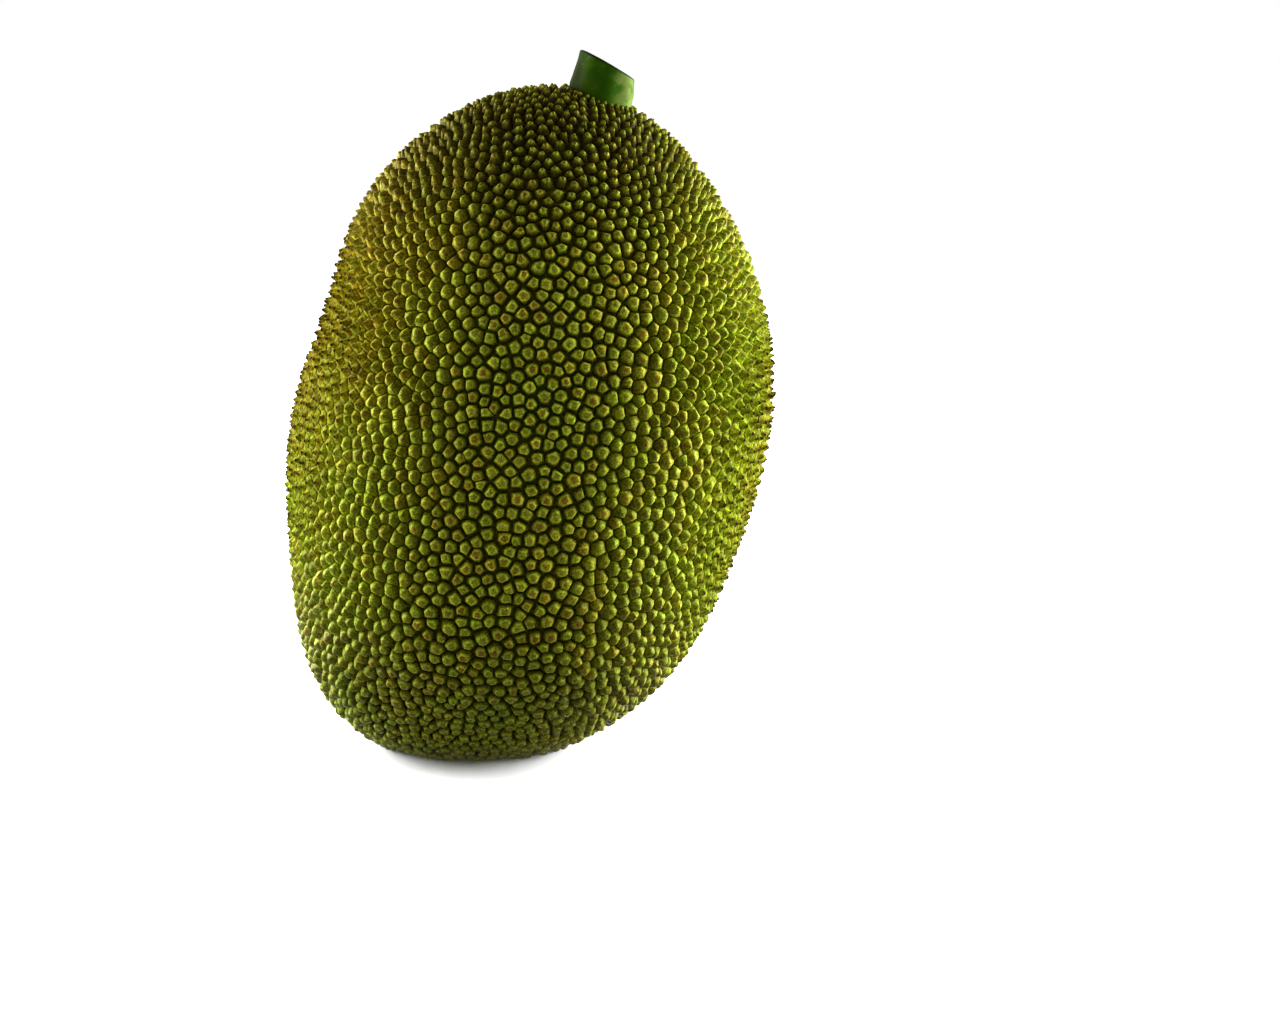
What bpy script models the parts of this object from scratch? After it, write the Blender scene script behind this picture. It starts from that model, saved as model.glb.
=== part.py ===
"""A whole jackfruit, standing on the blunt end away from its stalk.

The fruit is an egg that leans a little to one side, covered all over by blunt pointed knobs, with
the cut stub of its stalk set in a shallow round seat at the crown. It stands on a small flat spot.

Lengths are in metres, +Z is up, and the ground under the middle of the fruit's box is the origin.
The fruit's own axis runs from its foot to its crown. Polar angles are measured from the crown.
"""

import math

import bmesh
import bpy
import numpy as np
from mathutils import Matrix, Vector

MM = 0.001

# The egg: its radii from the centre, at even polar angles from the crown to the foot, on four sides.
CENTRE_HEIGHT = 158 * MM
LEAN = math.radians(12)
CROWN, FOOT = 170 * MM, 173 * MM
RIGHT = [155 * MM, 138 * MM, 127 * MM, 121 * MM, 125 * MM, 141 * MM, 159 * MM]
LEFT = [159 * MM, 137 * MM, 115 * MM, 112 * MM, 118 * MM, 136 * MM, 168 * MM]
BACK = [156 * MM, 135 * MM, 117 * MM, 112 * MM, 118 * MM, 138 * MM, 154 * MM]
FRONT = [155 * MM, 134 * MM, 119 * MM, 114 * MM, 122 * MM, 141 * MM, 156 * MM]

# The knobs: larger than life, so that they cover the fruit with few faces.
KNOBS = 1820
KNOB_HEIGHT = 5.0 * MM
HEIGHT_SPREAD = 0.12
CROWN_CROWDING = 0.80
FOOT_CROWDING = 0.86
CROWDED_BELOW = math.radians(45)
SEED_JITTER = 0.35
SETTLING_ROUNDS = 30
SETTLING_STEP = 0.3
SETTLING_REACH = 1.15
SETTLING_NEIGHBOURS = 8
PITCH_NEIGHBOURS = 6
GOLDEN_ANGLE = math.pi * (3 - math.sqrt(5))
SPIRAL_SAMPLES = 721
SPIRAL_AZIMUTH = math.radians(45)
SEED = 7
RIND_COLOUR, RIND_ROUGHNESS = (0.16, 0.22, 0.02), 0.5

# The stalk: a stub that narrows from its seat to a slanting cut.
STALK_POLAR = math.radians(1.6)
STALK_RADIUS = 15.5 * MM
STALK_TOP_RADIUS = 13.9 * MM
STALK_SEAT_DEPTH = 9.0 * MM
STALK_PROUD = 12.1 * MM
STALK_FLARE = 5.0 * MM
STALK_SIDES = 32
STALK_RINGS = 5
STALK_RING_STEP = 1.2 * MM
STALK_BLANK = 1.25
STALK_CUT_NORMAL = Vector((0.29, 0.10, 0.95))
STALK_RIM_BEVEL = 0.8 * MM
STALK_SHARP_EDGE = math.radians(35)
STALK_COLOUR, STALK_ROUGHNESS = (0.03, 0.12, 0.01), 0.35
SEAT_GAP = 0.3 * MM


def closed_curve(values):
    """The second derivatives of the smooth closed curve (a cubic spline) through even values."""
    count = len(values)
    links = 4 * np.eye(count) + np.roll(np.eye(count), 1, 0) + np.roll(np.eye(count), -1, 0)
    bends = 6 * (np.roll(values, -1) - 2 * values + np.roll(values, 1))
    return np.linalg.solve(links, bends)


def read_curve(values, bends, place):
    """The closed curve's value at each place, counted in steps between its points."""
    before = np.floor(place).astype(int)
    right = place - before
    left = 1 - right
    before %= len(values)
    after = (before + 1) % len(values)
    curved = (left**3 - left) * bends[before] + (right**3 - right) * bends[after]
    return left * values[before] + right * values[after] + curved / 6


def outline(one_side, other_side):
    """The closed outline down one side of the egg and up the other."""
    values = np.array([CROWN, *one_side, FOOT, *reversed(other_side)])
    return values, closed_curve(values)


WIDE_OUTLINE = outline(RIGHT, LEFT)
DEEP_OUTLINE = outline(BACK, FRONT)


def egg_radius(polar, azimuth):
    """The egg's radius: the four side radii at a polar angle, blended smoothly round the axis."""
    place = polar / math.pi * (len(RIGHT) + 1)
    around = len(WIDE_OUTLINE[0])
    right, left = read_curve(*WIDE_OUTLINE, place), read_curve(*WIDE_OUTLINE, around - place)
    back, front = read_curve(*DEEP_OUTLINE, place), read_curve(*DEEP_OUTLINE, around - place)
    sideways = (right - left) / 2 * np.cos(azimuth)
    backwards = (back - front) / 2 * np.sin(azimuth)
    flattened = (right + left - back - front) / 4 * np.cos(2 * azimuth)
    return (right + left + back + front) / 4 + sideways + backwards + flattened


def angles_of(directions):
    """Polar angle and azimuth of directions in the fruit's own frame."""
    polar = np.arccos(np.clip(directions[:, 2], -1, 1))
    return polar, np.arctan2(directions[:, 1], directions[:, 0])


def egg_points(directions, sunk=0.0):
    """Points on the egg along directions from its centre, sunk below its surface."""
    radius = egg_radius(*angles_of(directions)) - sunk
    return directions * radius[:, None]


def unit(vectors):
    """Vectors brought to length 1."""
    return vectors / np.linalg.norm(vectors, axis=1, keepdims=True)


def crowding(polar):
    """The pitch of the knobs at a polar angle, as a share of the pitch at the fruit's waist."""
    to_crown = np.clip(1 - polar / CROWDED_BELOW, 0, 1)
    to_foot = np.clip(1 - (math.pi - polar) / CROWDED_BELOW, 0, 1)
    return 1 - (1 - CROWN_CROWDING) * to_crown - (1 - FOOT_CROWDING) * to_foot


def spiral_directions(count):
    """Directions on a golden-angle spiral, evenly over the egg but closer at its two ends."""
    polar = np.linspace(0, math.pi, SPIRAL_SAMPLES)
    radius = egg_radius(polar, np.full_like(polar, SPIRAL_AZIMUTH))
    slope = np.gradient(radius, polar)
    area = radius * np.sin(polar) * np.hypot(radius, slope) / crowding(polar) ** 2
    share = np.cumsum(area) / area.sum()
    seed_polar = np.interp((np.arange(count) + 0.5) / count, share, polar)
    azimuth = np.arange(count) * GOLDEN_ANGLE
    flat = np.sin(seed_polar)
    return np.stack([flat * np.cos(azimuth), flat * np.sin(azimuth), np.cos(seed_polar)], axis=1)


def knob_directions():
    """Directions of the knobs: the spiral, shaken and then settled by pushing neighbours apart."""
    draw = np.random.default_rng(SEED)
    directions = spiral_directions(KNOBS)
    points = egg_points(directions)
    _, nearest = neighbours_of(points, PITCH_NEIGHBOURS)
    pitch = nearest.mean() / crowding(angles_of(directions)[0]).mean()
    directions = unit(points + draw.normal(size=points.shape) * SEED_JITTER * pitch)
    for _ in range(SETTLING_ROUNDS):
        points = egg_points(directions)
        wanted = pitch * crowding(angles_of(directions)[0])
        index, distance = neighbours_of(points, SETTLING_NEIGHBOURS)
        push = np.clip(SETTLING_REACH * wanted[:, None] / distance - 1, 0, 1)
        away = (points[:, None, :] - points[index]) * push[:, :, None]
        directions = unit(points + SETTLING_STEP * away.sum(axis=1))
    return directions, draw


def neighbours_of(points, count):
    """The nearest other points of each point, and their distances."""
    squares = (points**2).sum(axis=1)
    apart = squares[:, None] + squares[None, :] - 2 * points @ points.T
    np.fill_diagonal(apart, np.inf)
    index = np.argpartition(apart, count, axis=1)[:, :count]
    distance = np.sqrt(np.take_along_axis(apart, index, axis=1))
    return index, distance


def standing(points):
    """Points of the fruit's own frame, leaned and lifted, with the foot pressed flat on the ground."""
    lean = np.array(Matrix.Rotation(LEAN, 3, "Y"))
    placed = points @ lean.T + np.array([0, 0, CENTRE_HEIGHT])
    placed[:, 2] = np.maximum(placed[:, 2], 0)
    return placed


def material(name, colour, roughness):
    """A plain Principled material."""
    made = bpy.data.materials.new(name)
    made.use_nodes = True
    shader = made.node_tree.nodes["Principled BSDF"]
    shader.inputs["Base Color"].default_value = (*colour, 1)
    shader.inputs["Roughness"].default_value = roughness
    shader.inputs["Metallic"].default_value = 0
    made.diffuse_color = (*colour, 1)
    return made


def new_object(name, collection, mesh_source, finish=None):
    """An object in a collection, from a bmesh."""
    mesh = bpy.data.meshes.new(name)
    mesh_source.to_mesh(mesh)
    mesh_source.free()
    made = bpy.data.objects.new(name, mesh)
    collection.objects.link(made)
    if finish:
        mesh.materials.append(finish)
    return made


def make_fruit(collection):
    """The knobbed egg.

    The hull of the knobs' directions joins neighbours by edges. Each of its triangles gets a middle
    point, and each edge between two knobs is turned to join the middles beside it. The knobs then
    stand on the egg's surface, and the middles lie in the valleys between them.
    """
    directions, draw = knob_directions()
    shape = bmesh.new()
    for direction in directions:
        shape.verts.new(direction)
    bmesh.ops.convex_hull(shape, input=shape.verts)
    knob_edges = shape.edges[:]
    bmesh.ops.poke(shape, faces=shape.faces[:])
    bmesh.ops.rotate_edges(shape, edges=knob_edges)

    shape.verts.ensure_lookup_table()
    directions = unit(np.array([vertex.co for vertex in shape.verts]))
    polar, _ = angles_of(directions)
    sunk = KNOB_HEIGHT * crowding(polar)
    sunk[:KNOBS] *= np.abs(draw.normal(scale=HEIGHT_SPREAD, size=KNOBS))
    for vertex, place in zip(shape.verts, standing(egg_points(directions, sunk))):
        vertex.co = place
    bmesh.ops.recalc_face_normals(shape, faces=shape.faces[:])
    return new_object("fruit", collection, shape, material("rind", RIND_COLOUR, RIND_ROUGHNESS))


def stalk_radius(height):
    """The stalk's radius at a height above its foot: a taper, with a flare down to its seat."""
    length = STALK_SEAT_DEPTH + STALK_PROUD
    taper = STALK_TOP_RADIUS + (STALK_RADIUS - STALK_TOP_RADIUS) * max(0, 1 - height / length)
    flare = (STALK_RADIUS - taper) * math.exp(-max(0, height - STALK_SEAT_DEPTH) / STALK_FLARE)
    return taper + flare


def make_stalk(collection):
    """The stub of the stalk, turned round +Z from its foot and cut off on a slant.

    Its rings stop below the lowest point of the cut, and the blank ends above the highest.
    """
    length = STALK_SEAT_DEPTH + STALK_PROUD
    blank = STALK_BLANK * length
    shape = bmesh.new()
    bmesh.ops.create_cone(
        shape,
        cap_ends=True,
        segments=STALK_SIDES,
        radius1=STALK_RADIUS,
        radius2=STALK_RADIUS,
        depth=blank,
        matrix=Matrix.Translation((0, 0, blank / 2)),
    )
    for ring in range(STALK_RINGS):
        height = STALK_SEAT_DEPTH + ring * STALK_RING_STEP
        parts = shape.verts[:] + shape.edges[:] + shape.faces[:]
        bmesh.ops.bisect_plane(shape, geom=parts, plane_co=(0, 0, height), plane_no=(0, 0, 1))
    for vertex in shape.verts:
        narrowed = stalk_radius(vertex.co.z) / STALK_RADIUS
        vertex.co.x *= narrowed
        vertex.co.y *= narrowed
    cut = bmesh.ops.bisect_plane(
        shape,
        geom=shape.verts[:] + shape.edges[:] + shape.faces[:],
        plane_co=(0, 0, length),
        plane_no=STALK_CUT_NORMAL,
        clear_outer=True,
    )
    rim = [part for part in cut["geom_cut"] if isinstance(part, bmesh.types.BMEdge)]
    bmesh.ops.contextual_create(shape, geom=rim)
    bmesh.ops.bevel(shape, geom=rim, offset=STALK_RIM_BEVEL, segments=1, affect="EDGES")
    bmesh.ops.recalc_face_normals(shape, faces=shape.faces[:])
    finish = material("stalk_skin", STALK_COLOUR, STALK_ROUGHNESS)
    stalk = new_object("stalk", collection, shape, finish)
    stalk.data.shade_smooth()
    stalk.data.set_sharp_from_angle(angle=STALK_SHARP_EDGE)
    return stalk


def make_seat(collection):
    """The cutter of the round seat that the stalk stands in."""
    shape = bmesh.new()
    bmesh.ops.create_cone(
        shape,
        cap_ends=True,
        segments=STALK_SIDES,
        radius1=STALK_RADIUS + SEAT_GAP,
        radius2=STALK_RADIUS + SEAT_GAP,
        depth=2 * STALK_SEAT_DEPTH + SEAT_GAP,
        matrix=Matrix.Translation((0, 0, STALK_SEAT_DEPTH - SEAT_GAP / 2)),
    )
    seat = new_object("stalk_seat", collection, shape)
    seat.hide_render = True
    seat.display_type = "WIRE"
    return seat


def seat_place():
    """The place of the stalk's foot, and the rotation that turns +Z along the stalk."""
    sunk = STALK_SEAT_DEPTH
    direction = np.array([[math.sin(STALK_POLAR), 0, math.cos(STALK_POLAR)]])
    foot = standing(egg_points(direction, sunk))[0]
    return Vector(foot), (0, LEAN, 0)


def main():
    """Build the jackfruit in an empty scene."""
    for old in list(bpy.data.objects):
        bpy.data.objects.remove(old, do_unlink=True)
    parts = bpy.data.collections.new("jackfruit")
    cutters = bpy.data.collections.new("cutters")
    for collection in (parts, cutters):
        bpy.context.scene.collection.children.link(collection)

    fruit = make_fruit(parts)
    stalk = make_stalk(parts)
    seat = make_seat(cutters)
    for piece in (stalk, seat):
        piece.location, piece.rotation_euler = seat_place()

    cut = fruit.modifiers.new("stalk_seat", "BOOLEAN")
    cut.operation = "DIFFERENCE"
    cut.object = seat

    middle = bpy.data.objects.new("middle", None)
    parts.objects.link(middle)
    xs = [vertex.co.x for vertex in fruit.data.vertices]
    ys = [vertex.co.y for vertex in fruit.data.vertices]
    middle.location = (-(min(xs) + max(xs)) / 2, -(min(ys) + max(ys)) / 2, 0)
    for piece in (fruit, stalk, seat):
        piece.parent = middle


main()
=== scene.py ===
"""The looks of a whole jackfruit standing on its blunt end.

The rind is a smooth dark bed with a few thousand blunt knobs grown close together on it, each one a
small closed solid whose outline is shared out with its neighbours. The stub of the stalk stands at
the crown. Everything keeps to the same egg that the construction solids follow.

Lengths are in metres, +Z is up, and the fruit leans towards +X. Polar angles are counted from the
crown, and azimuths from the side that the fruit leans to.
"""

import logging
import math
from collections.abc import Sequence
from dataclasses import dataclass, field
from enum import Enum
from functools import cached_property

import bpy
import numpy as np
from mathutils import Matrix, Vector


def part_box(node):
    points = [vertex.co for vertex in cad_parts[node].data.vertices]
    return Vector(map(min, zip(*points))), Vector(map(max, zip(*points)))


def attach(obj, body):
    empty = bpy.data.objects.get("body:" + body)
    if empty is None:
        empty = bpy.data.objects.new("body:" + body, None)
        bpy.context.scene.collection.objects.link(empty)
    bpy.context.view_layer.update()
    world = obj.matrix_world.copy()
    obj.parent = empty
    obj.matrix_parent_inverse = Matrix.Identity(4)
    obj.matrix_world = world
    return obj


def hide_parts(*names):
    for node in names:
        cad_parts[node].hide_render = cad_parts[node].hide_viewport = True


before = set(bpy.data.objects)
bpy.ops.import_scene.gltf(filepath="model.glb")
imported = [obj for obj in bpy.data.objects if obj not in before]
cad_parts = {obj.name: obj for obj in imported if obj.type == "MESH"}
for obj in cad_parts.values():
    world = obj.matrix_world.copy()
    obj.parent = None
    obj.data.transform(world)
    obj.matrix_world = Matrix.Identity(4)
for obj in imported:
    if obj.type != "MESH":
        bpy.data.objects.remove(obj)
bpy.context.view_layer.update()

MM = 0.001
FULL_TURN = 2 * math.pi
BODY = "root"
BAKE_MAP = "OFBake"
LOG = logging.getLogger("jackfruit")
Colour = tuple[float, float, float]
Band = tuple[float, float]


def millimetres(*lengths: float) -> tuple[float, ...]:
    """Lengths in metres, from lengths in millimetres."""
    return tuple(length * MM for length in lengths)


def unit(vectors: np.ndarray) -> np.ndarray:
    """Vectors along the last axis brought to length 1."""
    return vectors / np.linalg.norm(vectors, axis=-1, keepdims=True)


def smooth_step(band: Band, values: np.ndarray) -> np.ndarray:
    """A soft step from 0 to 1: 3t^2 - 2t^3, where t runs from 0 to 1 across the band."""
    t = np.clip((values - band[0]) / (band[1] - band[0]), 0, 1)
    return t * t * (3 - 2 * t)


def new_object(name: str, data: bpy.types.ID) -> bpy.types.Object:
    """A new object of some data, linked to the scene."""
    made = bpy.data.objects.new(name, data)
    bpy.context.scene.collection.objects.link(made)
    return made


def mesh_object(name: str, points: np.ndarray, faces: Sequence[np.ndarray]) -> bpy.types.Object:
    """A mesh object at the origin, from whole arrays.

    Args:
        name: the object's and the mesh's name.
        points: vertex places, one row each.
        faces: blocks of faces, each an array with one row of vertex numbers for each face.

    Returns:
        The object, linked to the scene and shaded smooth.
    """
    corners = np.concatenate([block.reshape(-1) for block in faces]).astype(np.int32)
    sides = np.concatenate([np.full(len(block), block.shape[1]) for block in faces])
    starts = np.concatenate([[0], np.cumsum(sides)[:-1]]).astype(np.int32)
    mesh = bpy.data.meshes.new(name)
    mesh.vertices.add(len(points))
    mesh.vertices.foreach_set("co", points.astype(np.float32).reshape(-1))
    mesh.loops.add(len(corners))
    mesh.loops.foreach_set("vertex_index", corners)
    mesh.polygons.add(len(starts))
    mesh.polygons.foreach_set("loop_start", starts)
    mesh.update(calc_edges=True)
    mesh.shade_smooth()
    return new_object(name, mesh)


def set_values(made: bpy.types.Object, name: str, values: np.ndarray) -> None:
    """Store one number for each vertex as a named attribute that materials can read."""
    made.data.attributes.new(name, "FLOAT", "POINT")
    made.data.attributes[name].data.foreach_set("value", values.astype(np.float32).reshape(-1))


def set_bake_map(made: bpy.types.Object, corner_places: np.ndarray) -> None:
    """Store the piece's own flat map, one pair of coordinates for each face corner."""
    layer = made.data.uv_layers.new(name=BAKE_MAP)
    layer.uv.foreach_set("vector", corner_places.astype(np.float32).reshape(-1))


def grid_faces(rows: int, columns: int) -> np.ndarray:
    """Quads of a grid that closes on itself across its columns.

    Args:
        rows: how many rings of vertices there are.
        columns: how many vertices a ring has.

    Returns:
        One row of four vertex numbers for each quad, turning left seen from outside when the
        columns run counter-clockwise round the axis that the rows climb.
    """
    row, column = np.meshgrid(np.arange(rows - 1), np.arange(columns), indexing="ij")
    after = (column + 1) % columns
    quads = [row * columns + column, row * columns + after]
    quads += [(row + 1) * columns + after, (row + 1) * columns + column]
    return np.stack(quads, axis=-1).reshape(-1, 4)


def fan_faces(first: int, count: int, tip: int) -> np.ndarray:
    """Triangles from each step of a ring, whose first vertex is given, to the one at the tip."""
    side = np.arange(count)
    return np.stack([first + side, first + (side + 1) % count, np.full_like(side, tip)], axis=1)


@dataclass(frozen=True)
class Egg:
    """The bare egg that the rind follows, as it stands on the ground.

    Its radii run at even polar angles from the crown to the foot, down four sides.
    """

    crown: float = 170 * MM
    foot: float = 173 * MM
    right: tuple[float, ...] = millimetres(155, 138, 127, 121, 125, 141, 159)
    left: tuple[float, ...] = millimetres(159, 137, 115, 112, 118, 136, 168)
    back: tuple[float, ...] = millimetres(156, 135, 117, 112, 118, 138, 154)
    front: tuple[float, ...] = millimetres(155, 134, 119, 114, 122, 141, 156)
    centre_height: float = 158 * MM
    lean: float = math.radians(12)
    shift: tuple[float, float] = (0.0, 0.0)

    @classmethod
    def centred_in(cls, low: Vector, high: Vector) -> "Egg":
        """The egg moved sideways so that its box is centred like a given one.

        Args:
            low: the lowest corner of the box that the solid fruit fills.
            high: the highest corner of that box.

        Returns:
            The shifted egg.
        """
        loose, rows, columns = cls(), 181, 360
        steps = np.linspace(0, math.pi, rows), np.linspace(0, FULL_TURN, columns)
        polar, azimuth = np.meshgrid(*steps)
        places = loose.standing(loose.directions(polar.reshape(-1), azimuth.reshape(-1)))
        middle = (places.min(axis=0) + places.max(axis=0)) / 2
        wanted = (low + high) / 2
        return cls(shift=(wanted.x - middle[0], wanted.y - middle[1]))

    @staticmethod
    def directions(polar: np.ndarray, azimuth: np.ndarray) -> np.ndarray:
        """Unit vectors of the fruit's own frame at polar angles and azimuths."""
        flat = np.sin(polar)
        return np.stack([flat * np.cos(azimuth), flat * np.sin(azimuth), np.cos(polar)], axis=-1)

    @staticmethod
    def angles(directions: np.ndarray) -> tuple[np.ndarray, np.ndarray]:
        """The polar angles and azimuths of unit vectors of the fruit's own frame."""
        polar = np.arccos(np.clip(directions[..., 2], -1, 1))
        return polar, np.arctan2(directions[..., 1], directions[..., 0])

    @cached_property
    def curves(self) -> tuple[tuple[np.ndarray, np.ndarray], ...]:
        """The wide and the deep closed outline, each down one side and up the other.

        A periodic cubic spline through n even values v has second derivatives m with
        m[i-1] + 4 m[i] + m[i+1] = 6 (v[i-1] - 2 v[i] + v[i+1]).

        Returns:
            For each outline its radii, and the curve's second derivatives there.
        """
        made = []
        for one_side, other_side in ((self.right, self.left), (self.back, self.front)):
            values = np.array([self.crown, *one_side, self.foot, *reversed(other_side)])
            ring = np.eye(len(values))
            links = 4 * ring + np.roll(ring, 1, 0) + np.roll(ring, -1, 0)
            turned = np.roll(values, -1) - 2 * values + np.roll(values, 1)
            made.append((values, np.linalg.solve(links, 6 * turned)))
        return tuple(made)

    @staticmethod
    def read_curve(values: np.ndarray, bends: np.ndarray, place: np.ndarray) -> np.ndarray:
        """The closed curve's value at each place.

        Between two points, with shares a and b = 1 - a of the step, it is the straight blend of
        their values plus ((a^3 - a) m0 + (b^3 - b) m1) / 6.

        Args:
            values: the curve's values at its points.
            bends: its second derivatives there.
            place: places along it, counted in steps between its points.

        Returns:
            One value for each place.
        """
        before = np.floor(place).astype(int)
        b = place - before
        a = 1 - b
        before %= len(values)
        after = (before + 1) % len(values)
        curved = (a**3 - a) * bends[before] + (b**3 - b) * bends[after]
        return a * values[before] + b * values[after] + curved / 6

    def radius(self, polar: np.ndarray, azimuth: np.ndarray) -> np.ndarray:
        """The egg's radius, the four side radii blended by the first two waves round the axis.

        With R, L, B and F the radii of the right, left, back and front, it is
        (R+L+B+F)/4 + (R-L)/2 cos(az) + (B-F)/2 sin(az) + (R+L-B-F)/4 cos(2 az).

        Args:
            polar: polar angles.
            azimuth: azimuths, as many.

        Returns:
            The distances from the egg's centre.
        """
        place = polar / math.pi * (len(self.right) + 1)
        wide, deep = self.curves
        around = len(wide[0])
        right, left = self.read_curve(*wide, place), self.read_curve(*wide, around - place)
        back, front = self.read_curve(*deep, place), self.read_curve(*deep, around - place)
        sideways = (right - left) / 2 * np.cos(azimuth)
        backwards = (back - front) / 2 * np.sin(azimuth)
        flattened = (right + left - back - front) / 4 * np.cos(2 * azimuth)
        return (right + left + back + front) / 4 + sideways + backwards + flattened

    @property
    def centre(self) -> np.ndarray:
        """The egg's centre as it stands."""
        return np.array([*self.shift, self.centre_height])

    @property
    def axis(self) -> np.ndarray:
        """The direction from the foot to the crown as the egg stands."""
        return np.array([math.sin(self.lean), 0, math.cos(self.lean)])

    @property
    def turn(self) -> np.ndarray:
        """The matrix that leans the fruit's own frame over towards +X."""
        cos, sin = math.cos(self.lean), math.sin(self.lean)
        return np.array([[cos, 0, sin], [0, 1, 0], [-sin, 0, cos]])

    def standing(
        self, directions: np.ndarray, sunk: float | np.ndarray = 0.0, lift: float = 0.0
    ) -> np.ndarray:
        """Places on the egg as it stands.

        Args:
            directions: unit vectors of the fruit's own frame.
            sunk: how far below the egg's surface the places are, all alike or one by one.
            lift: how high above the ground the foot is pressed flat.

        Returns:
            One place for each direction.
        """
        radius = self.radius(*self.angles(directions)) - sunk
        places = (directions * radius[..., None]) @ self.turn.T + self.centre
        places[..., 2] = np.maximum(places[..., 2], lift)
        return places

    def facing(self, places: np.ndarray) -> np.ndarray:
        """The directions, in the fruit's own frame, of places as the fruit stands."""
        return unit((places - self.centre) @ self.turn)

    def tangents(
        self, directions: np.ndarray, sunk: float | np.ndarray, lift: float
    ) -> tuple[np.ndarray, np.ndarray, np.ndarray]:
        """Two directions along the surface and one out of it, by small steps each way.

        Args:
            directions: unit vectors of the fruit's own frame.
            sunk: as in standing.
            lift: as in standing.

        Returns:
            Unit vectors east, north and outward, as the fruit stands.
        """
        step, near_pole = 4e-3, 0.9
        helper = np.where(np.abs(directions[:, 2:]) > near_pole, [[1.0, 0, 0]], [[0, 0, 1.0]])
        first = unit(np.cross(helper, directions))
        second = np.cross(directions, first)
        slopes = []
        for way in (first, second):
            ahead, behind = unit(directions + step * way), unit(directions - step * way)
            slopes.append(self.standing(ahead, sunk, lift) - self.standing(behind, sunk, lift))
        outward = unit(np.cross(slopes[0], slopes[1]))
        east = unit(slopes[0])
        return east, np.cross(outward, east), outward


class Zone(Enum):
    """The parts of the rind, each a piece of its own: two ends, and four sides between them."""

    CROWN = "crown"
    FOOT = "foot"
    RIGHT = "right"
    BACK = "back"
    LEFT = "left"
    FRONT = "front"

    @property
    def number(self) -> int:
        """The zone's place in the list of zones."""
        return list(Zone).index(self)

    @property
    def middle(self) -> float:
        """The azimuth of a side's middle, a quarter turn on for each side after the right."""
        return (self.number - Zone.RIGHT.number) * FULL_TURN / 4


@dataclass(frozen=True)
class KnobLayout:
    """Where the knobs grow: close together, smaller at the two ends, and clear of the stalk."""

    knobs: int = 5450
    crown_crowding: float = 0.72
    foot_crowding: float = 0.86
    crowded_below: float = math.radians(45)
    jitter: float = 0.36
    rounds: int = 22
    look_again: int = 4
    step: float = 0.22
    reach: float = 1.10
    neighbours: int = 10
    pitch_neighbours: int = 6
    block: int = 800
    samples: int = 721
    size_spread: float = 0.09
    size_limits: Band = (0.78, 1.25)
    seed: int = 11

    def crowding(self, polar: np.ndarray) -> np.ndarray:
        """The pitch at polar angles as a share of the waist's, falling off evenly at each end.

        Args:
            polar: polar angles.

        Returns:
            One share for each angle.
        """
        to_crown = np.clip(1 - polar / self.crowded_below, 0, 1)
        to_foot = np.clip(1 - (math.pi - polar) / self.crowded_below, 0, 1)
        return 1 - (1 - self.crown_crowding) * to_crown - (1 - self.foot_crowding) * to_foot

    def spiral(self, egg: Egg) -> np.ndarray:
        """Directions on a golden-angle spiral, spaced by the egg's area over the crowding squared.

        Args:
            egg: the egg that the knobs grow on.

        Returns:
            One direction for each knob, from the crown to the foot.
        """
        polar = np.linspace(0, math.pi, self.samples)
        radius = egg.radius(polar, np.full_like(polar, math.pi / 4))
        slope = np.gradient(radius, polar)
        area = radius * np.sin(polar) * np.hypot(radius, slope) / self.crowding(polar) ** 2
        share = np.cumsum(area) / area.sum()
        places = (np.arange(self.knobs) + 0.5) / self.knobs
        azimuth = np.arange(self.knobs) * math.pi * (3 - math.sqrt(5))
        return egg.directions(np.interp(places, share, polar), azimuth)

    def nearest(self, points: np.ndarray, count: int) -> np.ndarray:
        """Each point's nearest others, by squared distances worked out a block at a time.

        Args:
            points: places, one row each.
            count: how many others to find.

        Returns:
            Their numbers, one row for each point, in no order.
        """
        found = []
        squares = (points**2).sum(axis=1)
        for start in range(0, len(points), self.block):
            block = points[start : start + self.block]
            apart = squares[None, :] - 2 * block @ points.T
            apart[np.arange(len(block)), start + np.arange(len(block))] = np.inf
            found.append(np.argpartition(apart, count, axis=1)[:, :count])
        return np.concatenate(found)

    def settled(
        self, egg: Egg, sunk: float, lift: float, clear: "Clearing"
    ) -> tuple[np.ndarray, np.ndarray]:
        """The spiral, shaken and then settled by pushing neighbours apart.

        Each knob has a size of its own, about 1. In each round it is pushed straight away from
        every neighbour that is nearer than the pitch there times the mean of their two sizes, by a
        fixed share of what is missing, and then put back on the egg.

        Args:
            egg: the egg that the knobs grow on.
            sunk: how deep below the egg the bed of the knobs lies.
            lift: how high above the ground the bed is pressed flat.
            clear: the round place round the stalk that is kept free.

        Returns:
            The directions of the knobs that are left, and their sizes.
        """
        draw = np.random.default_rng(self.seed)
        sizes = np.exp(draw.normal(scale=self.size_spread, size=self.knobs)).clip(*self.size_limits)
        directions = self.spiral(egg)
        points = egg.standing(directions, sunk, lift)
        near = self.nearest(points, self.pitch_neighbours)
        apart = np.linalg.norm(points[near] - points[:, None], axis=2).mean()
        pitch = apart / self.crowding(egg.angles(directions)[0]).mean()
        directions = egg.facing(points + draw.normal(size=points.shape) * self.jitter * pitch)
        for number in range(self.rounds):
            points = egg.standing(directions, sunk, lift)
            if number % self.look_again == 0:
                near = self.nearest(points, self.neighbours)
            local = self.reach * pitch * self.crowding(egg.angles(directions)[0])
            wanted = local[:, None] * (sizes[:, None] + sizes[near]) / 2
            gaps = points[:, None] - points[near]
            apart = np.linalg.norm(gaps, axis=2)
            push = np.maximum(wanted / apart - 1, 0)
            points = points + self.step * (gaps * push[:, :, None]).sum(axis=1)
            directions = egg.facing(clear.pushed_out(points))
        left = clear.outside(egg.standing(directions, sunk, lift))
        return directions[left], sizes[left]


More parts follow.
